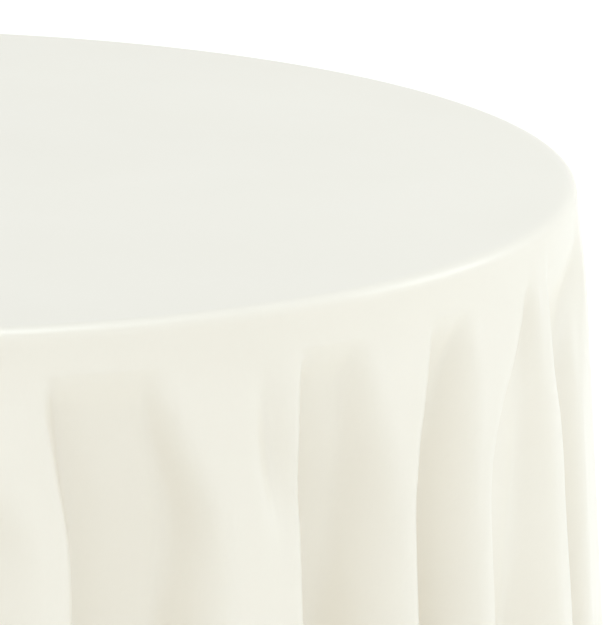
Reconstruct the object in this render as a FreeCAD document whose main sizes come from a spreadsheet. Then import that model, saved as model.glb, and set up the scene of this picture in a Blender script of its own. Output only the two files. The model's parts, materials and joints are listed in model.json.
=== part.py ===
import FreeCAD, Part
import math
import os
import Sketcher

# Round folding banquet table under a seamless round tablecloth.
# Origin: centre of the footprint on the floor.  +Z up, +X towards leg frame A.  Millimetres.

os.makedirs("parts", exist_ok=True)
doc = FreeCAD.newDocument("clothed_table")
Vec = FreeCAD.Vector

SIZES = [
    ("table_height", 762, "floor to the table's upper face"),
    ("top_radius", 762, "60 inch round top, over the edge moulding"),
    ("panel_thickness", 19, "plywood panel"),
    ("edge_depth", 50, "edge moulding, top to bottom"),
    ("edge_width", 12, "edge moulding, in to out"),
    ("edge_round", 10, "rounding of the moulding's upper corner"),
    ("edge_low_round", 3, "rounding of the moulding's lower corner"),
    ("apron_width", 24, "ring of four plywood segments under the panel"),
    ("apron_gap", 2, "joint between two segments"),
    ("pivot_spread", 420, "centre to each leg pivot, along X"),
    ("pivot_height_a", 700, "upper leg frame, folds above the other"),
    ("pivot_height_b", 666, "lower leg frame"),
    ("splay_angle", 3.5, "legs lean outwards, degrees"),
    ("tube_radius", 14.3, "leg tube, outside"),
    ("tube_wall", 1.6, "leg tube wall"),
    ("tube_offset", 296, "centre plane to each leg tube, along Y"),
    ("tube_head", 22, "tube above the pivot"),
    ("bar_radius", 11, "crossbar, outside"),
    ("bar_wall", 1.5, "crossbar wall"),
    ("bar_drop", 450, "crossbar below the pivot, along the leg"),
    ("foot_radius", 17, "rubber foot"),
    ("foot_height", 40, "rubber foot, along the leg"),
    ("foot_floor", 6, "rubber under the tube's end"),
    ("rod_radius", 6, "pivot rod"),
    ("rod_half", 330, "pivot rod, half its length"),
    ("bush_radius", 9, "nylon bush in the rail"),
    ("bush_play", 0.05, "running clearance on the rod"),
    ("rail_offset", 322, "centre plane to the rail's inner face"),
    ("rail_gauge", 3, "rail sheet thickness"),
    ("rail_flange", 25, "rail flange under the panel"),
    ("rail_half", 470, "rail, half its length"),
    ("screw_radius", 2.1, "rail screw shank"),
    ("screw_bite", 12, "screw in the panel"),
    ("stay_arm", 110, "pivot to the stay's lower end"),
    ("stay_length", 160, "stay, hole to hole"),
    ("stay_width", 20, "stay bar"),
    ("stay_gauge", 3, "stay bar thickness"),
    ("stay_offset", 315, "centre plane to the stay's inner face"),
    ("slot_rise", 20, "slot end above the pivot, legs open"),
    ("slot_fall", 30, "slot end below the pivot, legs folded"),
    ("slot_half", 4.6, "half the slot's width"),
    ("pin_radius", 4, "stay rivet and slot pin"),
    ("cloth_gap", 0.4, "cloth off the table, all round"),
    ("cloth_thickness", 1.6, "stand-in thickness of the cloth"),
    ("cloth_flare", 55, "skirt further out at the hem"),
    ("hem_height", 8, "hem above the floor"),
    ("hem_width", 12, "double-turned hem"),
    ("hem_thickness", 1, "extra cloth turned in at the hem"),
    ("label_height", 42, "care label above the hem"),
    ("label_angle", 1.8, "care label, degrees round the skirt"),
]

sheet = doc.addObject("Spreadsheet::Sheet", "sizes")
for row, (alias, value, note) in enumerate(SIZES, 1):
    sheet.set("A%d" % row, note)
    sheet.set("B%d" % row, str(value))
    sheet.setAlias("B%d" % row, alias)
doc.recompute()

nodes = []


def size(alias):
    return float(getattr(sheet, alias))


def keep(thing, name):
    """Make an object one of the part's own nodes."""
    thing.Label = name
    nodes.append(thing)
    return thing


def place(thing, x="0", y="0", z="0"):
    """Bind an object's position to the sheet."""
    for axis, text in (("x", x), ("y", y), ("z", z)):
        thing.setExpression("Placement.Base." + axis, text)


def plane(body, role):
    for feature in body.Origin.OriginFeatures:
        if feature.Role == role:
            return feature
    raise ValueError(role)


def new_sketch(body, role):
    sketch = body.newObject("Sketcher::SketchObject", "sketch")
    sketch.AttachmentSupport = [(plane(body, role), "")]
    sketch.MapMode = "FlatFace"
    return sketch


def outline(sketch, points):
    """Closed outline: each entry is an end point, or (mid x, mid y, end x, end y) for an arc."""
    last = Vec(points[-1][-2], points[-1][-1], 0)
    for point in points:
        end = Vec(point[-2], point[-1], 0)
        if len(point) == 4:
            sketch.addGeometry(Part.Arc(last, Vec(point[0], point[1], 0), end), False)
        else:
            sketch.addGeometry(Part.LineSegment(last, end), False)
        last = end


def circle(sketch, x, y, alias):
    """Circle at x, y with its radius bound to the sheet."""
    index = sketch.addGeometry(Part.Circle(Vec(x, y, 0), Vec(0, 0, 1), size(alias)), False)
    at = sketch.addConstraint(Sketcher.Constraint("Radius", index, size(alias)))
    sketch.setExpression("Constraints[%d]" % at, "sizes." + alias)


def pad(body, sketch, length):
    feature = body.newObject("PartDesign::Pad", "pad")
    feature.Profile = sketch
    feature.setExpression("Length", length)
    return feature


def turned(name, points, angle=360.0):
    """Body turned about its own Z axis from an outline of radius and height."""
    body = doc.addObject("PartDesign::Body", name)
    sketch = new_sketch(body, "XZ_Plane")
    outline(sketch, points)
    doc.recompute()
    spin = body.newObject("PartDesign::Revolution", "revolution")
    spin.Profile = sketch
    spin.ReferenceAxis = (sketch, ["V_Axis"])
    spin.Angle = angle
    return keep(body, name)


def aim(body, direction):
    """Turn a body so that its Z axis points along a direction."""
    body.Placement = FreeCAD.Placement(Vec(0, 0, 0), FreeCAD.Rotation(Vec(0, 0, 1), direction))


def cylinder(radius, height, base, direction):
    """Part cylinder with radius and height bound to the sheet."""
    rod = doc.addObject("Part::Cylinder", "cylinder")
    rod.setExpression("Radius", radius)
    rod.setExpression("Height", height)
    rod.Placement = FreeCAD.Placement(base, FreeCAD.Rotation(Vec(0, 0, 1), direction))
    return rod


def fuse(shapes):
    joined = doc.addObject("Part::MultiFuse", "fuse")
    joined.Shapes = shapes
    return joined


def cut(base, tool):
    less = doc.addObject("Part::Cut", "cut")
    less.Base = base
    less.Tool = tool
    return less


lean = math.radians(size("splay_angle"))
full_fold = math.pi / 2 + lean
panel_under = size("table_height") - size("panel_thickness")
edge_under = size("table_height") - size("edge_depth")


def stay_angle(fold):
    """Stay's angle above the horizontal for a leg folded by this many radians."""
    arm = size("stay_arm")
    length = size("stay_length")
    opened = math.asin((size("slot_rise") + arm * math.cos(lean)) / length)
    folded = math.asin(-size("slot_fall") / length)
    return opened + (folded - opened) * fold / full_fold


def stay_foot(fold):
    """Stay's lower end from the pivot: towards the centre, and up."""
    arm = size("stay_arm")
    return (-arm * math.sin(lean - fold), -arm * math.cos(lean - fold))


def slot_point(fold):
    """Slot pin from the pivot: towards the centre, and up."""
    inwards, up = stay_foot(fold)
    angle = stay_angle(fold)
    length = size("stay_length")
    return (inwards + length * math.cos(angle), up + length * math.sin(angle))


# Plywood panel, with the pilot holes of the rail screws.
screw_x = [-440, -220, 0, 220, 440]
screw_y = size("rail_offset") + size("rail_gauge") + size("rail_flange") / 2

panel = doc.addObject("PartDesign::Body", "top_panel")
disc = new_sketch(panel, "XY_Plane")
disc_index = disc.addGeometry(Part.Circle(Vec(0, 0, 0), Vec(0, 0, 1), 750), False)
disc_size = disc.addConstraint(Sketcher.Constraint("Radius", disc_index, 750))
disc.setExpression("Constraints[%d]" % disc_size, "sizes.top_radius - sizes.edge_width")
pad(panel, disc, "sizes.panel_thickness")
doc.recompute()
pilots = new_sketch(panel, "XY_Plane")
for x in screw_x:
    for side in (-1, 1):
        circle(pilots, x, side * screw_y, "screw_radius")
doc.recompute()
pilot_pocket = panel.newObject("PartDesign::Pocket", "pilot_holes")
pilot_pocket.Profile = pilots
pilot_pocket.setExpression("Length", "sizes.screw_bite")
pilot_pocket.Reversed = True
place(panel, z="sizes.table_height - sizes.panel_thickness")
keep(panel, "top_panel")

# Four apron segments glued under the panel's rim.
outer = size("top_radius") - size("edge_width")
inner = outer - size("apron_width")
trim = size("apron_gap") / 2
for quarter in range(4):
    name = "apron_%d" % (quarter + 1)
    apron = doc.addObject("PartDesign::Body", name)
    sector = new_sketch(apron, "XY_Plane")
    outer_end = math.sqrt(outer ** 2 - trim ** 2)
    inner_end = math.sqrt(inner ** 2 - trim ** 2)
    outline(sector, [
        (outer_end, trim),
        (outer / math.sqrt(2), outer / math.sqrt(2), trim, outer_end),
        (trim, inner_end),
        (inner / math.sqrt(2), inner / math.sqrt(2), inner_end, trim),
    ])
    pad(apron, sector, "sizes.edge_depth - sizes.panel_thickness")
    turn = FreeCAD.Rotation(Vec(0, 0, 1), 90 * quarter)
    apron.Placement = FreeCAD.Placement(Vec(0, 0, 0), turn)
    place(apron, z="sizes.table_height - sizes.edge_depth")
    keep(apron, name)

# Bull-nosed vinyl moulding round the rim.
rim = size("top_radius")
top = size("table_height")
rounding = size("edge_round")
bow = rounding * (1 - math.sqrt(0.5))
low_round = size("edge_low_round")
low_bow = low_round * (1 - math.sqrt(0.5))
turned("edge_moulding", [
    (outer, edge_under),
    (rim - low_round, edge_under),
    (rim - low_bow, edge_under + low_bow, rim, edge_under + low_round),
    (rim, top - rounding),
    (rim - bow, top - bow, rim - rounding, top),
    (outer, top),
])

# Two steel rails: a web with the pivot holes and the guide slots, and a flange on the panel.
middle_x = 80


def slot_outline(sketch, way, height):
    """Arched guide slot in a web; way is the side of the pivot it belongs to."""
    ends = [slot_point(full_fold * share) for share in (0.0, 0.5, 1.0)]
    start, middle, end = [
        Vec(way * (size("pivot_spread") - inwards), height + up, 0) for inwards, up in ends
    ]
    centre = Part.Arc(start, middle, end).toShape().Curve.Center
    half = size("slot_half")
    rays = [(point - centre).normalize() for point in (start, middle, end)]
    far = [point + ray * half for point, ray in zip((start, middle, end), rays)]
    near = [point - ray * half for point, ray in zip((start, middle, end), rays)]
    along = (end - start).normalize()
    sketch.addGeometry(Part.Arc(far[0], far[1], far[2]), False)
    sketch.addGeometry(Part.Arc(far[2], end + along * half, near[2]), False)
    sketch.addGeometry(Part.Arc(near[2], near[1], near[0]), False)
    sketch.addGeometry(Part.Arc(near[0], start - along * half, far[0]), False)


web_low_a = size("pivot_height_a") - 56
web_low_b = size("pivot_height_b") - 56
half = size("rail_half")
for name, side in (("rail_left", -1), ("rail_right", 1)):
    rail = doc.addObject("PartDesign::Body", name)
    web = new_sketch(rail, "XZ_Plane")
    outline(web, [
        (-half, panel_under),
        (-half, web_low_b + 30),
        (-half + 30, web_low_b),
        (-middle_x - 34, web_low_b),
        (-middle_x, web_low_a),
        (half - 30, web_low_a),
        (half, web_low_a + 30),
        (half, panel_under),
    ])
    circle(web, size("pivot_spread"), size("pivot_height_a"), "bush_radius")
    circle(web, -size("pivot_spread"), size("pivot_height_b"), "bush_radius")
    slot_outline(web, 1, size("pivot_height_a"))
    slot_outline(web, -1, size("pivot_height_b"))
    pad(rail, web, "sizes.rail_gauge")
    doc.recompute()
    flange = new_sketch(rail, "XY_Plane")
    flange.AttachmentOffset = FreeCAD.Placement(
        Vec(0, 0, panel_under - size("rail_gauge")), FreeCAD.Rotation())
    near_y = 0 if side > 0 else -size("rail_gauge")
    far_y = near_y + side * size("rail_flange")
    hole_y = near_y + side * size("rail_flange") / 2
    outline(flange, [(-half, near_y), (half, near_y), (half, far_y), (-half, far_y)])
    for x in screw_x:
        circle(flange, x, hole_y, "screw_radius")
    pad(rail, flange, "sizes.rail_gauge")
    if side > 0:
        place(rail, y="sizes.rail_offset + sizes.rail_gauge")
    else:
        place(rail, y="-sizes.rail_offset")
    keep(rail, name)

# Rail screws, five to a rail.
head_under = panel_under - size("rail_gauge") - 2.5
for name, side in (("rail_screws_left", -1), ("rail_screws_right", 1)):
    pieces = []
    for x in screw_x:
        head_at = Vec(x, side * screw_y, head_under)
        pieces.append(cylinder("sizes.screw_radius * 2.2", "2.5", head_at, Vec(0, 0, 1)))
        pieces.append(cylinder(
            "sizes.screw_radius", "2.5 + sizes.rail_gauge + sizes.screw_bite",
            head_at, Vec(0, 0, 1)))
    keep(fuse(pieces), name)

# Two folding leg frames, each with a stay at either side.
inner_face = size("rail_offset")
outer_face = inner_face + size("rail_gauge")
tube_outside = size("tube_offset") + size("tube_radius")
stay_in = size("stay_offset")
stay_out = stay_in + size("stay_gauge")

for frame, way in (("a", 1), ("b", -1)):
    height_text = "sizes.pivot_height_" + frame
    spread_text = "sizes.pivot_spread" if way > 0 else "-sizes.pivot_spread"
    height = size("pivot_height_" + frame)
    pivot = Vec(way * size("pivot_spread"), 0, height)
    down = Vec(way * math.sin(lean), 0, -math.cos(lean))
    leg_length = height / math.cos(lean)
    foot_in, foot_up = stay_foot(0.0)
    stay_low = pivot + Vec(-way * foot_in, 0, foot_up)
    pin_in, pin_up = slot_point(0.0)
    stay_high = pivot + Vec(-way * pin_in, 0, pin_up)

    rod = cylinder("sizes.rod_radius", "2 * sizes.rod_half", pivot, Vec(0, 1, 0))
    place(rod, spread_text, "-sizes.rod_half", height_text)
    keep(rod, "pivot_rod_" + frame)

    tube_outers = []
    for side_name, side in (("left", -1), ("right", 1)):
        tag = frame + "_" + side_name
        across = Vec(0, side, 0)
        tube_base = pivot + Vec(0, side * size("tube_offset"), 0) - down * size("tube_head")
        tube_height = "%s / cos(sizes.splay_angle) + sizes.tube_head - sizes.foot_floor"
        tube_height = tube_height % height_text
        shell = cylinder("sizes.tube_radius", tube_height, tube_base, down)
        tube_outers.append(cylinder("sizes.tube_radius", tube_height, tube_base, down))
        bore = cylinder("sizes.tube_radius - sizes.tube_wall", tube_height, tube_base, down)
        rod_hole = cylinder("sizes.rod_radius", "2 * sizes.rod_half",
                            pivot - Vec(0, size("rod_half"), 0), Vec(0, 1, 0))
        rivet_hole = cylinder("sizes.pin_radius", "sizes.stay_offset",
                              stay_low + across * size("tube_offset"), across)
        keep(cut(shell, fuse([bore, rod_hole, rivet_hole])), "leg_tube_" + tag)

        foot_base = pivot + Vec(0, side * size("tube_offset"), 0)
        foot_base = foot_base + down * (leg_length - size("foot_height"))
        block = doc.addObject("Part::Cone", "cone")
        block.setExpression("Radius1", "sizes.foot_radius - 1.2")
        block.setExpression("Radius2", "sizes.foot_radius")
        block.setExpression("Height", "sizes.foot_height + 2")
        block.Placement = FreeCAD.Placement(foot_base, FreeCAD.Rotation(Vec(0, 0, 1), down))
        socket = cylinder("sizes.tube_radius", "sizes.foot_height - sizes.foot_floor",
                          foot_base, down)
        below = doc.addObject("Part::Box", "box")
        below.Length = 100
        below.Width = 100
        below.Height = 50
        below.Placement.Base = Vec(pivot.x + way * 42 - 50, foot_base.y - 50, -50)
        keep(cut(block, fuse([socket, below])), "foot_" + tag)

        bush = turned("pivot_bush_" + tag, [
            (size("rod_radius") + size("bush_play"), inner_face - 2.5),
            (size("bush_radius") + 3, inner_face - 2.5),
            (size("bush_radius") + 3, inner_face),
            (size("bush_radius"), inner_face),
            (size("bush_radius"), outer_face + 1),
            (size("rod_radius") + size("bush_play"), outer_face + 1),
        ])
        aim(bush, across)
        place(bush, spread_text, "0", height_text)

        cap = turned("rod_cap_" + tag, [
            (size("rod_radius"), outer_face + 2.5),
            (size("rod_radius") + 3, outer_face + 2.5),
            (size("rod_radius") + 3, outer_face + 6),
            (size("rod_radius"), outer_face + 8),
            (0, outer_face + 8),
            (0, size("rod_half")),
            (size("rod_radius"), size("rod_half")),
        ])
        aim(cap, across)
        place(cap, spread_text, "0", height_text)

        pin = size("pin_radius")
        wall_in = size("tube_offset") + 12
        rivet = turned("stay_rivet_" + tag, [
            (0, wall_in),
            (pin, wall_in),
            (pin, stay_out + 0.3),
            (pin + 3, stay_out + 0.3),
            (pin + 2, stay_out + 2),
            (0, stay_out + 2),
        ])
        aim(rivet, across)
        rivet.Placement.Base = Vec(stay_low.x, 0, stay_low.z)

        slot_pin = turned("slot_pin_" + tag, [
            (0, stay_in - 1.5),
            (pin + 3, stay_in - 1.5),
            (pin + 3, stay_in),
            (pin, stay_in),
            (pin, outer_face + 0.6),
            (pin + 4, outer_face + 0.6),
            (pin + 3.4, outer_face + 2.6),
            (0, outer_face + 2.6),
        ])
        aim(slot_pin, across)
        slot_pin.Placement.Base = Vec(stay_high.x, 0, stay_high.z)

        stay = doc.addObject("PartDesign::Body", "stay_" + tag)
        bar = new_sketch(stay, "XZ_Plane")
        length = size("stay_length")
        edge = size("stay_width") / 2
        outline(bar, [
            (length, -edge),
            (length + edge, 0, length, edge),
            (0, edge),
            (-edge, 0, 0, -edge),
        ])
        bar.addGeometry(Part.Circle(Vec(0, 0, 0), Vec(0, 0, 1), pin + 0.05), False)
        circle(bar, length, 0, "pin_radius")
        pad(stay, bar, "sizes.stay_gauge")
        rise = math.degrees(stay_angle(0.0))
        swing = 180 - rise if way > 0 else rise
        bar_y = stay_out if side > 0 else -stay_in
        stay.Placement = FreeCAD.Placement(
            Vec(stay_low.x, bar_y, stay_low.z), FreeCAD.Rotation(Vec(0, -1, 0), swing))
        keep(stay, "stay_" + tag)

    bar_at = pivot + down * size("bar_drop") - Vec(0, size("tube_offset"), 0)
    solid_bar = cylinder("sizes.bar_radius", "2 * sizes.tube_offset", bar_at, Vec(0, 1, 0))
    bar_bore = cylinder("sizes.bar_radius - sizes.bar_wall", "2 * sizes.tube_offset",
                        bar_at, Vec(0, 1, 0))
    keep(cut(solid_bar, fuse([bar_bore] + tube_outers)), "crossbar_" + frame)

# Tablecloth: flat over the top, down past the rounded rim, flaring to the hem.
gap = size("cloth_gap")
thick = size("cloth_thickness")
flare = size("cloth_flare")
hem = size("hem_height")


def skirt(height, offset):
    """Radius of the skirt's inner face at a height, plus an offset."""
    share = (edge_under - height) / (edge_under - hem)
    return rim + gap + flare * share + offset


in_bend = rounding + gap
out_bend = in_bend + thick
in_bow = in_bend * math.sqrt(0.5)
out_bow = out_bend * math.sqrt(0.5)
bend_r = rim - rounding
bend_z = top - rounding
turned("tablecloth", [
    (0, top + gap),
    (bend_r, top + gap),
    (bend_r + in_bow, bend_z + in_bow, bend_r + in_bend, bend_z),
    (skirt(edge_under, 0), edge_under),
    (skirt(hem, 0), hem),
    (skirt(hem, thick), hem),
    (skirt(edge_under, thick), edge_under),
    (bend_r + out_bend, bend_z),
    (bend_r + out_bow, bend_z + out_bow, bend_r, top + gap + thick),
    (0, top + gap + thick),
])

hem_top = hem + size("hem_width")
fold = size("hem_thickness")
turned("hem_band", [
    (skirt(hem, -fold), hem),
    (skirt(hem, 0), hem),
    (skirt(hem_top, 0), hem_top),
    (skirt(hem_top, -fold), hem_top),
])

seam = hem_top - 2
turned("hem_stitching", [
    (skirt(seam - 0.5, thick), seam - 0.5),
    (skirt(seam - 0.5, thick + 0.6), seam - 0.5),
    (skirt(seam + 0.5, thick + 0.6), seam + 0.5),
    (skirt(seam + 0.5, thick), seam + 0.5),
])

label_low = hem_top + 1
label_high = label_low + size("label_height")
label = turned("care_label", [
    (skirt(label_low, -1), label_low),
    (skirt(label_low, 0), label_low),
    (skirt(label_high, 0), label_high),
    (skirt(label_high, -1), label_high),
], size("label_angle"))
label.Placement = FreeCAD.Placement(Vec(0, 0, 0), FreeCAD.Rotation(Vec(0, 0, 1), 128))

doc.recompute()

for thing in doc.Objects:
    if "Invalid" in thing.State or "Error" in thing.State:
        raise RuntimeError("feature failed: " + thing.Label)
for node in nodes:
    if node.Shape.isNull() or not node.Shape.isValid():
        raise RuntimeError("bad shape: " + node.Label)
    if node.Shape.Volume <= 0:
        raise RuntimeError("no volume: " + node.Label)
for node in nodes:
    node.Shape.exportStep("parts/%s.step" % node.Label)
print("nodes", len(nodes))
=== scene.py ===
import json
import math
import random

import bpy
import numpy as np
from mathutils import Matrix, Vector


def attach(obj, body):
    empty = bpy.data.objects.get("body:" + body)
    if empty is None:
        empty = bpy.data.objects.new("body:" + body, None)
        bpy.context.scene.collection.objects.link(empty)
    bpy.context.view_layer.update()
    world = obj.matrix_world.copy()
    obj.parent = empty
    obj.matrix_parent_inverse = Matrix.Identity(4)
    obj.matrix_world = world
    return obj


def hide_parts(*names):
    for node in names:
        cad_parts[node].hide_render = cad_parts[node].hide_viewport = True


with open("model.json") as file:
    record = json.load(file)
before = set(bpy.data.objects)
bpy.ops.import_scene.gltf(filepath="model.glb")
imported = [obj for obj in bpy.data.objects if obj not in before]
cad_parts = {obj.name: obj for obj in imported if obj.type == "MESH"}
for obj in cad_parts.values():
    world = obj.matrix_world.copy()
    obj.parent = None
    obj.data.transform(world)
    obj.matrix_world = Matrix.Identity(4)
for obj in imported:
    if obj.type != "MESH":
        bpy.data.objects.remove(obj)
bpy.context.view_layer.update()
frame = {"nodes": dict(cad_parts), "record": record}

# Table, in metres.
RIM = 0.762
TOP = 0.762
EDGE_DEPTH = 0.050
EDGE_TOP_ROUND = 0.010
EDGE_LOW_ROUND = 0.003
UNDER = TOP - EDGE_DEPTH

# Cloth: half its thickness, its gap to the table, and its finished radius laid flat.
HALF = 0.0003
OFF = 0.0016
FLAT = 1.500
HEM = 0.012

# Draping. A drop is a length of cloth below the line where it leaves the table's edge.
COLUMNS = 480
HELD_TO = 0.772      # distance from the cloth's middle up to which the table holds it
SAG = 0.0010         # how far the cloth's weight pulls it down in each step of settling
GATHERED = 0.14      # largest share of a ring's spare length held by fine gathers
FADE = 0.18          # drop over which each fold narrows from the rim to its ridge
FLARE = 0.072        # how far the ridges spread outward for each metre of drop
STAND_CLEAR = 0.003  # how far the ridges stand off soon after the cloth comes free
FOLD_STEPS = 240     # steps from one valley's deepest line to the next
PLAN_PASSES = 6      # evening-out passes down the columns of the hung cloth
LAST_PASSES = 3      # the same on the settled cloth
SETTLE_STEPS = 6
SETTLE_ROUNDS = 14
HIDDEN_FOLDS = 17
WRAP = 2 * np.pi


class Fold:
    """One fold of the skirt. Angles are degrees round the table from its front, to the right."""

    def __init__(self, left, right, low_left, low_right, dimple, stand_off, deepest, slope):
        self.left = left                # edges just under the rim
        self.right = right
        self.low_left = low_left        # edges lower down
        self.low_right = low_right
        self.dimple = dimple            # depth of the dimple near the top, as a share of the fold
        self.stand_off = stand_off      # how far it stands off the edge band, in metres
        self.deepest = deepest          # the next valley's deepest line, as a share of the way on
        self.slope = slope              # share of the valley before it that slopes evenly up to it


SEEN_FOLDS = [
    Fold(-6.0, -1.0, -4.0, -1.5, 0.0, 0.0, 0.2, 0.4),
    Fold(7.0, 14.2, 14.7, 15.9, 0.0, 0.0, 0.2, 0.4),
    Fold(24.0, 34.6, 28.6, 34.2, 0.32, 0.0, 0.2, 0.26),
    Fold(41.8, 48.1, 44.4, 45.6, 0.0, 0.0, 0.2, 0.42),
    Fold(54.1, 62.3, 53.8, 55.0, 0.0, 0.0, 0.45, 0.1),
    Fold(64.4, 66.6, 67.0, 68.8, 0.0, 0.003, 0.3, 0.0),
    Fold(80.5, 94.0, 74.5, 88.0, 0.0, 0.006, 0.4, 0.0),
]
FIRST_HIDDEN = 106.0
LAST_HIDDEN = 360.0 - 18.5


def all_folds():
    """Seen folds, then the rest of the way round at uneven steps."""
    dice = random.Random(11)
    folds = list(SEEN_FOLDS)
    steps = [dice.uniform(0.82, 1.2) for _ in range(HIDDEN_FOLDS - 1)]
    scale = (LAST_HIDDEN - FIRST_HIDDEN) / sum(steps)
    at = FIRST_HIDDEN
    for index in range(HIDDEN_FOLDS):
        wide = dice.uniform(2.4, 4.6)
        shift = dice.uniform(-2.4, 2.4)
        thin = dice.uniform(0.6, 1.3)
        dimple = 0.7 if index % 7 == 3 else 0.0
        if dimple:
            wide = 5.0
            thin = 2.6
        stand_off = 0.005 if index % 3 == 1 else 0.0
        folds.append(Fold(
            at - wide, at + wide, at + shift - thin, at + shift + thin,
            dimple, stand_off, dice.uniform(0.25, 0.75), dice.uniform(0.0, 0.45)))
        if index < HIDDEN_FOLDS - 1:
            at += steps[index] * scale
    return folds


def meridian(length):
    """Radius and height of the smooth cloth at a distance from its middle."""
    flat = RIM - EDGE_TOP_ROUND
    bend = EDGE_TOP_ROUND + OFF
    arc = bend * math.pi / 2
    if length < flat:
        return length, TOP + OFF
    if length < flat + arc:
        turn = (length - flat) / bend
        return flat + bend * math.sin(turn), TOP - EDGE_TOP_ROUND + bend * math.cos(turn)
    return flat + bend, TOP - EDGE_TOP_ROUND - (length - flat - arc)


def smooth(value):
    """Eases from 0 to 1 as the value goes from 0 to 1."""
    value = np.clip(value, 0.0, 1.0)
    return value * value * (3 - 2 * value)


# Rings of the draped sheet, by distance from its middle: close over the edge, wider below.
RINGS = np.concatenate([
    [0.735, 0.744],
    np.arange(0.752, 0.846, 0.006),
    np.arange(0.846, FLAT - 2.1 * HEM, 0.012),
    [FLAT - HEM, FLAT],
])
COUNT = len(RINGS)
HELD = int(np.searchsorted(RINGS, HELD_TO))
THETA = np.arange(COLUMNS) * 2 * np.pi / COLUMNS
# Distance from the middle at which the cloth leaves the bottom of the table's edge.
FREE_FROM = next(length for length in RINGS if meridian(length)[1] < UNDER + 0.002)


def gap(a, b):
    """Distances between two sets of points."""
    return np.linalg.norm(a - b, axis=-1)


def fold_edges(folds, drop):
    """Left and right edge of every fold at a drop, in radians."""
    share = smooth(drop / FADE)
    left = np.array([fold.left + (fold.low_left - fold.left) * share for fold in folds])
    right = np.array([fold.right + (fold.low_right - fold.right) * share for fold in folds])
    return np.radians(left), np.radians(right)


def valley_lines(folds, drop):
    """Deepest line of the valley before and after every fold at a drop, in radians."""
    left, right = fold_edges(folds, drop)
    deepest = np.array([fold.deepest for fold in folds])
    after = right + deepest * (np.append(left[1:], left[0] + WRAP) - right)
    before = np.append(after[-1] - WRAP, after[:-1])
    return before, after


def taken_up(drop):
    """Share of the ring's spare length that its folds hold; fine gathers hold the rest."""
    gathers = smooth(drop / 0.2) * (1 - smooth((drop - 0.25) / 0.35))
    return float((0.25 + 0.75 * smooth(drop / 0.05)) * (1 - GATHERED * gathers))


def push_off_table(points, free):
    """Keep the cloth outside the table's rounded edge and above the floor."""
    reach = np.hypot(points[..., 0], points[..., 1])
    above = points[..., 2] > TOP - EDGE_DEPTH / 2
    corner = np.where(above, EDGE_TOP_ROUND, EDGE_LOW_ROUND)
    level = np.where(above, TOP - corner, UNDER + corner)
    out = reach - (RIM - corner)
    up = np.where(above, points[..., 2] - level, level - points[..., 2])
    out_only = np.maximum(out, 0)
    up_only = np.maximum(up, 0)
    length = np.hypot(out_only, up_only)
    inside = (out <= 0) & (up <= 0)
    depth = np.where(inside, np.maximum(out, up), length) - corner
    hit = (depth < OFF) & free
    side = np.where(inside, (out > up) * 1.0, out_only / np.maximum(length, 1e-9))
    lift = np.where(inside, (out <= up) * 1.0, up_only / np.maximum(length, 1e-9))
    lift = np.where(above, lift, -lift)
    push = np.where(hit, OFF - depth, 0)
    points[..., 0] += push * side * points[..., 0] / np.maximum(reach, 1e-9)
    points[..., 1] += push * side * points[..., 1] / np.maximum(reach, 1e-9)
    points[..., 2] += push * lift
    points[..., 2] = np.maximum(points[..., 2], 0.005)
    return hit


def ring_arc(azimuth, reach):
    """Lengths of the straight steps along part of a ring."""
    return np.hypot(np.diff(reach * np.cos(azimuth)), np.diff(reach * np.sin(azimuth)))


def solve(target, most, measure):
    """Value from 0 to most at which a rising measure reaches its target."""
    low, high = 0.0, most
    for _ in range(26):
        value = (low + high) / 2
        if measure(value) < target:
            low = value
        else:
            high = value
    return value


def fold_profile(fold, left, right, before, after, radius, drop):
    """Azimuths across one fold and its half valleys, with two shares for each: how much of
    the ridge it has (0 is the valley's floor), and how far it is from left edge to right."""
    # Widths of the ridge's left and right flanks, in metres.
    rise = 0.030 + 0.140 * min(drop, 0.25)
    fall = 0.013 + 0.040 * drop + 0.040 * max(0.0, drop - 0.25)
    along = np.linspace(before, after, FOLD_STEPS + 1)
    gap_left = max(1e-4, (left - before) * radius)
    gap_right = max(1e-4, (after - right) * radius)
    beyond_left = (left - along) * radius
    beyond_right = (along - right) * radius / min(fall, gap_right)
    slope = fold.slope * smooth(drop / 0.10)
    rising = (slope * np.clip(beyond_left / gap_left, 0, 1)
              + (1 - slope) * smooth(beyond_left / min(rise, gap_left)))
    crest = 1 - np.maximum(rising, smooth(beyond_right))
    # The dimple opens just under the edge band and closes again lower down.
    near = (along - (0.26 * left + 0.74 * right)) * radius
    shut = float(1 - smooth((drop - 0.10) / 0.09)) * float(smooth(drop / 0.02))
    crest = crest - fold.dimple * shut * np.exp(-(near / 0.015) ** 2)
    across = smooth((along - left) / (right - left))
    return along, crest, across


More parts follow.
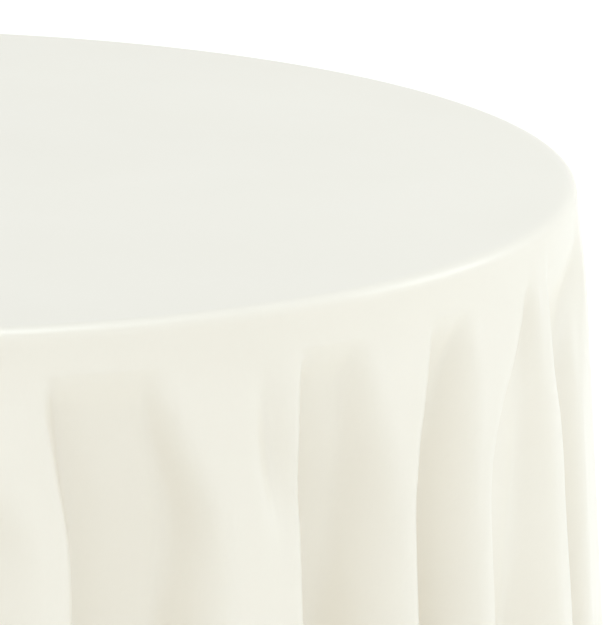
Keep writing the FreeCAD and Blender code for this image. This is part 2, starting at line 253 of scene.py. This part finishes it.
def hung_ring(folds, length):
    """Azimuth and reach of every column of the ring at a distance from the cloth's middle."""
    radius = meridian(length)[0]
    drop = max(0.0, length - FREE_FROM)
    on_edge = smooth((length - HELD_TO) / (FREE_FROM - HELD_TO))
    out = radius + STAND_CLEAR * float(smooth(drop / 0.05)) + FLARE * drop
    left, right = fold_edges(folds, drop)
    before, after = valley_lines(folds, drop)
    rim_before, rim_after = valley_lines(folds, 0.0)
    eased = taken_up(drop)
    profiles = []
    ridges = []
    arcs = []
    depths = []
    for index, fold in enumerate(folds):
        along, crest, across = fold_profile(
            fold, left[index], right[index], before[index], after[index], radius, drop)
        ridge = out + fold.stand_off * on_edge * crest
        plain = (rim_after[index] - rim_before[index]) * radius
        slack = (length * (rim_after[index] - rim_before[index]) - plain) * eased
        depth = 0.0
        if drop > 0:
            depth = solve(plain + slack, 0.4, lambda value: ring_arc(
                along, ridge - value * (1 - crest)).sum())
        profiles.append((along, crest, across))
        ridges.append(ridge)
        arcs.append(plain + slack)
        depths.append(depth)

    # Neighbouring folds share the depth of the valley between them.
    depths = np.array(depths)
    valley = (depths + np.roll(depths, -1)) / 2
    hollow = np.concatenate([
        (valley[index - 1] + (valley[index] - valley[index - 1]) * across[:-1]) * (1 - crest[:-1])
        for index, (_, crest, across) in enumerate(profiles)])
    azimuth = np.concatenate([along[:-1] for along, _, _ in profiles])
    ridge = np.concatenate([line[:-1] for line in ridges])
    azimuth = np.append(azimuth, azimuth[0] + WRAP)
    ridge = np.append(ridge, ridge[0])
    hollow = np.append(hollow, hollow[0])
    factor = 0.0
    if drop > 0:
        factor = solve(sum(arcs), 2.0, lambda value: ring_arc(
            azimuth, ridge - value * hollow).sum())
    reach = ridge - factor * hollow

    # Columns are spread by the length of cloth along the ring, not by angle.
    turned = np.append(0.0, np.cumsum(ring_arc(azimuth, reach)))
    turned = turned / turned[-1] * WRAP
    turned += np.mean(rim_before - turned[np.arange(len(folds)) * FOLD_STEPS])
    mine = turned[0] + (THETA - turned[0]) % WRAP
    return np.interp(mine, turned, azimuth), np.interp(mine, turned, reach)


def even_out_down(grid):
    """One pass of evening out each column below the held rings, in place."""
    grid[HELD:-1] = 0.25 * grid[HELD - 1:-2] + 0.5 * grid[HELD:-1] + 0.25 * grid[HELD + 1:]


def seeded_rings():
    """The cloth hung in its folds, before it settles: a ring of points for each distance."""
    folds = all_folds()
    points = np.empty((COUNT, COLUMNS, 3))
    for ring, length in enumerate(RINGS):
        azimuth, reach = hung_ring(folds, length)
        points[ring, :, 0] = reach * np.sin(azimuth)
        points[ring, :, 1] = -reach * np.cos(azimuth)
        points[ring, :, 2] = meridian(length)[1]
    plan = points[..., :2]
    for _ in range(PLAN_PASSES):
        even_out_down(plan)
    # Below the held rings, each ring hangs as low as its thread from the ring above allows.
    for ring in range(HELD, COUNT):
        run = RINGS[ring] - RINGS[ring - 1]
        aside = gap(plan[ring], plan[ring - 1])
        fallen = np.sqrt(np.maximum(run ** 2 - aside ** 2, (0.6 * run) ** 2))
        points[ring, :, 2] = points[ring - 1, :, 2] - fallen
    push_off_table(points, np.ones((COUNT, COLUMNS), bool))
    return points


def settle(points, steps, rounds):
    """Position-based cloth: threads keep their length, folds keep their set, weight pulls down.

    High up, the threads' rest lengths are those of the hung folds, and lower down those of
    the flat cloth."""
    flat = np.stack([RINGS[:, None] * np.sin(THETA), -RINGS[:, None] * np.cos(THETA)], 2)
    round_rest = gap(flat, np.roll(flat, -1, 1))
    eased = smooth((RINGS - FREE_FROM - 0.30) / 0.25)[:, None]
    seeded = gap(points, np.roll(points, -1, 1))
    round_rest = seeded + (round_rest - seeded) * eased
    down_rest = np.diff(RINGS)[:, None] * np.ones((1, COLUMNS))
    cross_rest = {}
    for way in (1, -1):
        seeded_cross = gap(points[:-1], np.roll(points, -way, 1)[1:])
        flat_cross = gap(flat[:-1], np.roll(flat, -way, 1)[1:])
        cross_rest[way] = seeded_cross + (flat_cross - seeded_cross) * eased[1:]
    set_folds = {reach: gap(points, np.roll(points, -reach, 1)) for reach in (2, 4, 8)}
    set_drop = (RINGS[2:] - RINGS[:-2])[:, None] * np.ones((1, COLUMNS))
    weight = np.ones((COUNT, COLUMNS))
    weight[:HELD] = 0
    free = weight > 0

    def pull(a, b, wa, wb, rest, firm):
        """Moves of both ends of each thread towards its rest length."""
        line = b - a
        length = np.sqrt(np.einsum("...k,...k->...", line, line)) + 1e-12
        both = np.where(wa + wb > 0, wa + wb, 1)
        share = (firm * (length - rest) / (length * both))[..., None] * line
        return share * wa[..., None], share * wb[..., None]

    def round_pairs(reach, rest, firm):
        for first in range(2 * reach):
            a = np.arange(first, COLUMNS, 2 * reach)
            b = (a + reach) % COLUMNS
            da, db = pull(points[:, a], points[:, b], weight[:, a], weight[:, b], rest[:, a], firm)
            points[:, a] += da
            points[:, b] -= db

    def down_pairs(reach, rest, firm):
        for first in range(2 * reach):
            a = np.arange(first, COUNT - reach, 2 * reach)
            b = a + reach
            da, db = pull(points[a], points[b], weight[a], weight[b], rest[a], firm)
            points[a] += da
            points[b] -= db

    def cross_pairs(firm):
        for way in (1, -1):
            for first in (0, 1):
                a = np.arange(first, COUNT - 1, 2)
                lower = np.roll(points[a + 1], -way, 1)
                lower_weight = np.roll(weight[a + 1], -way, 1)
                da, db = pull(points[a], lower, weight[a], lower_weight, cross_rest[way][a], firm)
                points[a] += da
                points[a + 1] = np.roll(lower - db, way, 1)

    def hang_down():
        """Lift each point that has stretched its thread from the ring above."""
        for ring in range(HELD, COUNT):
            line = points[ring] - points[ring - 1]
            length = np.sqrt((line * line).sum(1))
            over = np.maximum(length, down_rest[ring - 1])
            shorter = np.where(length > down_rest[ring - 1], down_rest[ring - 1] / over, 1.0)
            points[ring] = points[ring - 1] + line * shorter[:, None]

    for _ in range(steps):
        points[..., 2] -= SAG * weight
        for turn in range(rounds):
            down_pairs(1, down_rest, 1.0)
            round_pairs(1, round_rest, 1.0)
            cross_pairs(0.2)
            round_pairs(2, set_folds[2], 0.10)
            round_pairs(4, set_folds[4], 0.08)
            round_pairs(8, set_folds[8], 0.06)
            down_pairs(2, set_drop, 0.08)
            if turn == 0:
                hang_down()
            push_off_table(points, free)
    for _ in range(LAST_PASSES):
        even_out_down(points)
    push_off_table(points, free)
    return points


def doubled_round(grid):
    """Cubic midpoints between columns, all the way round."""
    before = np.roll(grid, 1, 1)
    after = np.roll(grid, -1, 1)
    beyond = np.roll(grid, -2, 1)
    middle = (9 * (grid + after) - before - beyond) / 16
    return np.stack([grid, middle], 2).reshape(grid.shape[0], -1, grid.shape[2])


def doubled_down(grid):
    """Cubic midpoints between rings."""
    middle = (grid[:-1] + grid[1:]) / 2
    middle[1:-1] = (9 * (grid[1:-2] + grid[2:-1]) - grid[:-3] - grid[3:]) / 16
    out = np.empty((2 * len(grid) - 1,) + grid.shape[1:])
    out[::2] = grid
    out[1::2] = middle
    return out


def grid_normals(grid):
    """Unit normals of a grid that closes on itself, pointing up and outward."""
    round_way = np.roll(grid, -1, 1) - np.roll(grid, 1, 1)
    down_way = np.gradient(grid, axis=0)
    normal = np.cross(down_way, round_way)
    return normal / np.maximum(np.linalg.norm(normal, axis=-1, keepdims=True), 1e-12)


def add_object(name, data):
    made = bpy.data.objects.new(name, data)
    bpy.context.scene.collection.objects.link(made)
    return made


def new_piece(name, vertices, faces, material, flat=None):
    """Mesh object from numpy points and faces; flat gives each vertex's place on the cut cloth."""
    mesh = bpy.data.meshes.new(name)
    mesh.from_pydata(np.asarray(vertices).tolist(), [], faces)
    mesh.update()
    mesh.polygons.foreach_set("use_smooth", [True] * len(mesh.polygons))
    if flat is not None:
        corner = np.empty(len(mesh.loops), dtype=np.int64)
        mesh.loops.foreach_get("vertex_index", corner)
        layer = mesh.uv_layers.new(name="cut")
        layer.data.foreach_set("uv", np.asarray(flat)[corner].ravel())
    mesh.materials.append(material)
    return add_object(name, mesh)


# Materials ------------------------------------------------------------------------------


class Recipe:
    """A node material, with short helpers for its procedural inputs."""

    def __init__(self, name):
        self.material = bpy.data.materials.new(name)
        self.material.use_nodes = True
        self.tree = self.material.node_tree
        self.shader = self.tree.nodes["Principled BSDF"]

    def node(self, kind, **values):
        made = self.tree.nodes.new(kind)
        for key, value in values.items():
            if key in made.inputs:
                made.inputs[key].default_value = value
            else:
                setattr(made, key, value)
        return made

    def link(self, source, target):
        self.tree.links.new(source, target)

    def coordinates(self, kind, stretch):
        source = self.node("ShaderNodeTexCoord").outputs[kind]
        mapping = self.node("ShaderNodeMapping")
        mapping.inputs["Scale"].default_value = stretch
        self.link(source, mapping.inputs["Vector"])
        return mapping.outputs["Vector"]

    def noise(self, scale, detail=3.0, kind="Object", stretch=(1, 1, 1)):
        made = self.node("ShaderNodeTexNoise", Scale=scale, Detail=detail)
        self.link(self.coordinates(kind, stretch), made.inputs["Vector"])
        return made.outputs["Fac"]

    def blend(self, factor, first, second):
        ramp = self.node("ShaderNodeValToRGB")
        ramp.color_ramp.elements[0].position = 0.3
        ramp.color_ramp.elements[0].color = (*first, 1)
        ramp.color_ramp.elements[1].position = 0.7
        ramp.color_ramp.elements[1].color = (*second, 1)
        self.link(factor, ramp.inputs["Fac"])
        return ramp.outputs["Color"]

    def spread(self, factor, low, high):
        ranged = self.node("ShaderNodeMapRange")
        ranged.inputs["From Min"].default_value = 0.3
        ranged.inputs["From Max"].default_value = 0.7
        ranged.inputs["To Min"].default_value = low
        ranged.inputs["To Max"].default_value = high
        self.link(factor, ranged.inputs["Value"])
        return ranged.outputs["Result"]

    def bump(self, factor, strength, distance, under=None):
        made = self.node("ShaderNodeBump", Strength=strength, Distance=distance)
        self.link(factor, made.inputs["Height"])
        if under is not None:
            self.link(under, made.inputs["Normal"])
        return made.outputs["Normal"]

    def finish(self, color, roughness, normal=None, **fixed):
        self.link(color, self.shader.inputs["Base Color"])
        self.link(roughness, self.shader.inputs["Roughness"])
        if normal is not None:
            self.link(normal, self.shader.inputs["Normal"])
        for key, value in fixed.items():
            self.shader.inputs[key.replace("_", " ")].default_value = value
        return self.material


def satin():
    """Ivory satin: threads run one way, and the skirt catches the light along them."""
    recipe = Recipe("ivory_satin")
    cloudy = recipe.noise(2.2, 2.0, "UV")
    threads = recipe.noise(900.0, 2.0, "UV", (1.0, 0.12, 1.0))
    color = recipe.blend(cloudy, (0.850, 0.800, 0.704), (0.870, 0.820, 0.724))
    fine = recipe.node("ShaderNodeMix", data_type="RGBA", blend_type="MULTIPLY")
    fine.inputs["Factor"].default_value = 0.05
    recipe.link(color, fine.inputs["A"])
    recipe.link(recipe.blend(threads, (0.8, 0.79, 0.76), (1, 1, 1)), fine.inputs["B"])
    roughness = recipe.spread(recipe.noise(6.0, 3.0, "UV"), 0.33, 0.40)
    normal = recipe.bump(threads, 0.08, 0.0002)
    # The stretched highlight fades in over the table's edge, so the flat top stays even.
    from_middle = recipe.node("ShaderNodeVectorMath", operation="LENGTH")
    recipe.link(recipe.coordinates("UV", (1, 1, 1)), from_middle.inputs[0])
    stretched = recipe.node("ShaderNodeMapRange")
    for name, value in (("From Min", 0.74), ("From Max", 0.78), ("To Min", 0.0), ("To Max", 0.6)):
        stretched.inputs[name].default_value = value
    recipe.link(from_middle.outputs["Value"], stretched.inputs["Value"])
    recipe.link(stretched.outputs["Result"], recipe.shader.inputs["Anisotropic"])
    return recipe.finish(
        fine.outputs["Result"], roughness, normal,
        Anisotropic_Rotation=0.25, Specular_IOR_Level=1.0)


def thread():
    recipe = Recipe("sewing_thread")
    twist = recipe.noise(2400.0, 1.0, "Object")
    color = recipe.blend(twist, (0.70, 0.67, 0.58), (0.86, 0.83, 0.74))
    return recipe.finish(color, recipe.spread(twist, 0.5, 0.62), recipe.bump(twist, 0.4, 0.0002))


def label_cloth():
    recipe = Recipe("label_cloth")
    weave = recipe.noise(1500.0, 1.0, "UV", (1.0, 0.2, 1.0))
    color = recipe.blend(weave, (0.84, 0.84, 0.83), (0.92, 0.92, 0.91))
    return recipe.finish(color, recipe.spread(weave, 0.45, 0.6), recipe.bump(weave, 0.3, 0.0002))


def plywood():
    recipe = Recipe("plywood")
    grain = recipe.noise(9.0, 6.0, "Object", (0.5, 9.0, 9.0))
    fine = recipe.noise(60.0, 4.0, "Object", (0.4, 8.0, 8.0))
    color = recipe.blend(grain, (0.42, 0.27, 0.13), (0.63, 0.45, 0.25))
    return recipe.finish(
        color, recipe.spread(fine, 0.42, 0.58), recipe.bump(fine, 0.25, 0.0006), Coat_Weight=0.15)


def moulding():
    recipe = Recipe("vinyl_moulding")
    grain = recipe.noise(420.0, 3.0)
    color = recipe.blend(recipe.noise(14.0), (0.022, 0.020, 0.018), (0.036, 0.033, 0.030))
    return recipe.finish(color, recipe.spread(grain, 0.42, 0.56), recipe.bump(grain, 0.3, 0.0003))


def powder_coat():
    recipe = Recipe("powder_coat")
    pimples = recipe.noise(700.0, 2.0)
    color = recipe.blend(recipe.noise(11.0), (0.080, 0.083, 0.088), (0.105, 0.109, 0.114))
    return recipe.finish(
        color, recipe.spread(pimples, 0.40, 0.52), recipe.bump(pimples, 0.25, 0.0003),
        Metallic=0.25)


def zinc(name, first, second):
    recipe = Recipe(name)
    spangle = recipe.noise(120.0, 4.0)
    color = recipe.blend(spangle, first, second)
    return recipe.finish(
        color, recipe.spread(spangle, 0.26, 0.42), recipe.bump(spangle, 0.12, 0.0002),
        Metallic=1.0)


def nylon():
    recipe = Recipe("natural_nylon")
    cloud = recipe.noise(160.0)
    color = recipe.blend(cloud, (0.72, 0.71, 0.64), (0.80, 0.79, 0.73))
    return recipe.finish(color, recipe.spread(cloud, 0.4, 0.5), recipe.bump(cloud, 0.1, 0.0002))


def rubber():
    recipe = Recipe("foot_rubber")
    scuff = recipe.noise(260.0, 5.0)
    color = recipe.blend(scuff, (0.012, 0.012, 0.012), (0.030, 0.029, 0.028))
    return recipe.finish(color, recipe.spread(scuff, 0.6, 0.8), recipe.bump(scuff, 0.35, 0.0004))


def floor_finish():
    recipe = Recipe("studio_floor")
    cloud = recipe.noise(1.5)
    color = recipe.blend(cloud, (0.94, 0.93, 0.89), (0.95, 0.94, 0.90))
    return recipe.finish(
        color, recipe.spread(cloud, 0.75, 0.85),
        Emission_Color=(1, 1, 1, 1), Emission_Strength=0.12)


def dress_table():
    """Gives every CAD piece of the table the material of its slot."""
    by_slot = {
        "plywood": plywood(),
        "moulding": moulding(),
        "leg_steel": powder_coat(),
        "zinc": zinc("zinc_plate", (0.55, 0.56, 0.57), (0.70, 0.71, 0.72)),
        "stay_steel": zinc("stay_steel", (0.42, 0.43, 0.44), (0.58, 0.59, 0.60)),
        "nylon": nylon(),
        "foot_rubber": rubber(),
    }
    for part in frame["record"]["subparts"]:
        material = by_slot.get(part["material_slot"])
        if material is not None:
            node = frame["nodes"][part["node"]]
            node.data.materials.clear()
            node.data.materials.append(material)


SATIN = satin()
THREAD = thread()
LABEL = label_cloth()
dress_table()

# Tablecloth -----------------------------------------------------------------------------

# Rings of the flat middle, out to where the draped rings begin.
INNER_RINGS = np.array([0.06, 0.15, 0.25, 0.35, 0.44, 0.52, 0.59, 0.65, 0.70])

# Layers behind the sheet, as gaps from its middle surface.
HEM_LAYERS = (HALF + 0.0001, HALF + 0.0009)
LABEL_LAYERS = (HALF + 0.0011, HALF + 0.0014)
HEM_ROWS = 3                # rows of the fine grid that the turned hem covers
LABEL_ROWS = 8              # rows that the label covers, the lowest of them inside the hem
LABEL_AZIMUTH = math.radians(128.9)     # from the viewer's right, round the back

# Stitches: how many to a column, where each starts and ends in its share of it, and its
# sections, each a place along the stitch with its rise and half width, in millimetres.
STITCHES_PER_COLUMN = 2
STITCH_START = 0.12
STITCH_END = 0.88
STITCH_SECTIONS = ((0.0, 0.05, 0.12), (0.25, 0.42, 0.24), (0.75, 0.42, 0.24), (1.0, 0.05, 0.12))
STITCH_SUNK = 0.0001
STITCH_LINE = 0.35          # place of the line between the hem's first two rows
MILLIMETRE = 0.001


def draped_sheet():
    """Middle surface of the whole cloth: points, normals and places on the cut cloth."""
    cloth = seeded_rings()
    cloth = settle(cloth, SETTLE_STEPS, SETTLE_ROUNDS)
    cloth = doubled_down(doubled_round(cloth))
    lengths = doubled_down(np.repeat(RINGS[:, None, None], 3, 2))[:, 0, 0]
    columns = cloth.shape[1]
    turn = np.arange(columns) * 2 * np.pi / columns
    inner = np.empty((len(INNER_RINGS), columns, 3))
    inner[..., 0] = INNER_RINGS[:, None] * np.sin(turn)
    inner[..., 1] = -INNER_RINGS[:, None] * np.cos(turn)
    inner[..., 2] = TOP + OFF
    points = np.concatenate([inner, cloth])
    lengths = np.concatenate([INNER_RINGS, lengths])
    cut = np.stack([lengths[:, None] * np.sin(turn), -lengths[:, None] * np.cos(turn)], 2)
    return points, grid_normals(points), cut


def quads(height, width, base, flip, closed):
    """Faces of a grid stored row by row from base; closed joins its last column to its first."""
    span = width if closed else width - 1
    i, j = np.meshgrid(np.arange(height - 1), np.arange(span), indexing="ij")
    k = (j + 1) % width
    corners = [i * width + j, (i + 1) * width + j, (i + 1) * width + k, i * width + k]
    if flip:
        corners.reverse()
    return (np.stack(corners, -1).reshape(-1, 4) + base).tolist()


def shell(name, layer_out, layer_in, material, flat, closed=True, middle=False):
    """Thin closed piece between two grids that share their layout; middle closes its centre."""
    height, width = layer_out.shape[:2]
    total = height * width
    vertices = np.concatenate([layer_out.reshape(-1, 3), layer_in.reshape(-1, 3)])
    places = np.concatenate([flat.reshape(-1, 2), flat.reshape(-1, 2)])
    faces = quads(height, width, 0, False, closed)
    faces += quads(height, width, total, True, closed)

    def border(row, flip):
        strip = []
        for j in range(width if closed else width - 1):
            k = (j + 1) % width
            face = [row * width + j, total + row * width + j,
                    total + row * width + k, row * width + k]
            strip.append(face[::-1] if flip else face)
        return strip

    faces += border(height - 1, False)
    if middle:
        vertices = np.concatenate([
            vertices, [[0, 0, TOP + OFF + HALF]], [[0, 0, TOP + OFF - HALF]]])
        places = np.concatenate([places, [[0, 0]], [[0, 0]]])
        for j in range(width):
            k = (j + 1) % width
            faces.append([2 * total, j, k])
            faces.append([2 * total + 1, total + k, total + j])
    else:
        faces += border(0, True)
    if not closed:
        for i in range(height - 1):
            a = i * width
            b = a + width
            faces.append([a, total + a, total + b, b])
            a += width - 1
            b += width - 1
            faces.append([a, b, total + b, total + a])
    return new_piece(name, vertices, faces, material, places)


def turned_hem():
    rows = slice(-HEM_ROWS, None)
    outer, inner = [points[rows] - normals[rows] * layer for layer in HEM_LAYERS]
    return shell("turned_hem", outer, inner, SATIN, cut[rows])


def stitches():
    """Short raised stitches round the hem, each bedded in the cloth's outer face."""
    row = len(points) - HEM_ROWS
    spot = points[row] + (points[row + 1] - points[row]) * STITCH_LINE
    face_way = normals[row]
    round_way = np.roll(spot, -1, 0) - spot
    drop_way = np.cross(face_way, round_way)
    drop_way /= np.linalg.norm(drop_way, axis=-1, keepdims=True)
    vertices = []
    faces = []
    for j in range(len(spot)):
        lift = face_way[j]
        side = drop_way[j]
        for part in range(STITCHES_PER_COLUMN):
            start = spot[j] + round_way[j] * (part + STITCH_START) / STITCHES_PER_COLUMN
            end = spot[j] + round_way[j] * (part + STITCH_END) / STITCHES_PER_COLUMN
            first = len(vertices)
            for share, rise, wide in STITCH_SECTIONS:
                centre = start + (end - start) * share + lift * HALF
                vertices.append(centre + side * wide * MILLIMETRE)
                vertices.append(centre + lift * rise * MILLIMETRE)
                vertices.append(centre - side * wide * MILLIMETRE)
                vertices.append(centre - lift * STITCH_SUNK)
            for section in range(len(STITCH_SECTIONS) - 1):
                a = first + 4 * section
                for k in range(4):
                    m = (k + 1) % 4
                    faces.append([a + k, a + m, a + 4 + m, a + 4 + k])
            faces.append([first + 3, first + 2, first + 1, first])
            faces.append([first + 12, first + 13, first + 14, first + 15])
    return new_piece("hem_lockstitch", vertices, faces, THREAD)


def care_label():
    """Blank label inside the hem, on the columns that lie best at its place round the table."""
    way = np.array([math.cos(LABEL_AZIMUTH), math.sin(LABEL_AZIMUTH)])
    plan = points[len(points) - HEM_ROWS - 1, :, :2]
    middle = int(np.argmax(plan @ way - np.hypot(*plan.T) * 0.98))
    across = [(middle + step) % len(plan) for step in range(-1, 3)]
    lowest = len(points) - HEM_ROWS + 1
    rows = slice(lowest - LABEL_ROWS, lowest)
    outer, inner = [points[rows][:, across] - normals[rows][:, across] * layer
                    for layer in LABEL_LAYERS]
    return shell("care_label_blank", outer, inner, LABEL, cut[rows][:, across], closed=False)


points, normals, cut = draped_sheet()
sheet = shell("satin_tablecloth", points + normals * HALF, points - normals * HALF, SATIN, cut,
              middle=True)
hem = turned_hem()
seam = stitches()
label = care_label()

for piece, node, material_slot in (
        (sheet, "tablecloth", "satin"),
        (hem, "hem_band", "satin"),
        (seam, "hem_stitching", "thread"),
        (label, "care_label", "label_cloth")):
    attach(piece, "cloth")
    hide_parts(node)

# Studio ---------------------------------------------------------------------------------

COOL = (0.80, 0.91, 0.965)
FLOOR_REACH = 30.0
FLOOR_LEVEL = -0.0005


def studio_floor():
    corners = ((-1, -1), (1, -1), (1, 1), (-1, 1))
    points = [[x * FLOOR_REACH, y * FLOOR_REACH, FLOOR_LEVEL] for x, y in corners]
    return new_piece("studio_floor", points, [[0, 1, 2, 3]], floor_finish())


def studio_world():
    """White surroundings, brightest at the horizon."""
    world = bpy.data.worlds.new("studio_world")
    bpy.context.scene.world = world
    world.use_nodes = True
    tree = world.node_tree
    background = tree.nodes["Background"]
    direction = tree.nodes.new("ShaderNodeTexCoord")
    split = tree.nodes.new("ShaderNodeSeparateXYZ")
    fade = tree.nodes.new("ShaderNodeMapRange")
    for name, value in (("From Min", 0.0), ("From Max", 0.5), ("To Min", 1.0), ("To Max", 0.55)):
        fade.inputs[name].default_value = value
    tree.links.new(direction.outputs["Generated"], split.inputs["Vector"])
    tree.links.new(split.outputs["Z"], fade.inputs["Value"])
    tree.links.new(fade.outputs["Result"], background.inputs["Strength"])
    background.inputs["Color"].default_value = (1, 1, 1, 1)


def add_lamp(name, kind, strength):
    data = bpy.data.lights.new(name, kind)
    data.energy = strength
    data.color = COOL
    return add_object(name, data)


def soft_light(name, place, target, width, power):
    """Round soft box."""
    lamp = add_lamp(name, "AREA", power)
    lamp.data.shape = "DISK"
    lamp.data.size = width
    lamp.location = place
    aim = Vector(target) - Vector(place)
    lamp.rotation_euler = aim.to_track_quat("-Z", "Y").to_euler()


def sky_light(name, azimuth, elevation, spread, strength):
    """Wide distant light; azimuth is degrees to the right of the table's front."""
    lamp = add_lamp(name, "SUN", strength)
    lamp.data.angle = math.radians(spread)
    turn = math.radians(azimuth)
    rise = math.radians(elevation)
    towards = Vector((math.sin(turn) * math.cos(rise), -math.cos(turn) * math.cos(rise),
                      math.sin(rise)))
    lamp.rotation_euler = towards.to_track_quat("Z", "Y").to_euler()


# Camera: its distance and height angle from a point on the middle of the cloth's top, and
# then where it looks from there. It stands in front and looks at the right front edge.
AIM_HEIGHT = 0.7635
CAMERA_FROM_TOP = 6.5
ELEVATION = math.radians(11.78)
YAW = math.radians(4.368)
PITCH = math.radians(-13.098)
ROLL = math.radians(1.08)
LENS = 360.8


def studio_camera():
    data = bpy.data.cameras.new("camera")
    data.lens = LENS
    data.clip_end = 100
    camera = add_object("camera", data)
    forward = Vector((math.sin(YAW) * math.cos(PITCH), math.cos(YAW) * math.cos(PITCH),
                      math.sin(PITCH)))
    level = Vector((math.cos(YAW), -math.sin(YAW), 0))
    upright = level.cross(forward)
    right = level * math.cos(ROLL) + upright * math.sin(ROLL)
    up = upright * math.cos(ROLL) - level * math.sin(ROLL)
    place = Vector((0, -CAMERA_FROM_TOP * math.cos(ELEVATION),
                    AIM_HEIGHT + CAMERA_FROM_TOP * math.sin(ELEVATION)))
    camera.matrix_world = Matrix((
        (right.x, up.x, -forward.x, place.x),
        (right.y, up.y, -forward.y, place.y),
        (right.z, up.z, -forward.z, place.z),
        (0, 0, 0, 1)))
    return camera


studio_floor()
studio_world()
sky_light("key", -12, 76, 36, 1.51)
sky_light("right", 50, 62, 30, 0.24)
soft_light("side_box", (3.0, 0.35, 1.9), (0.3, -0.3, 0.7), 1.5, 10.5)
bpy.context.scene.camera = studio_camera()
bpy.context.scene.view_settings.view_transform = "Standard"
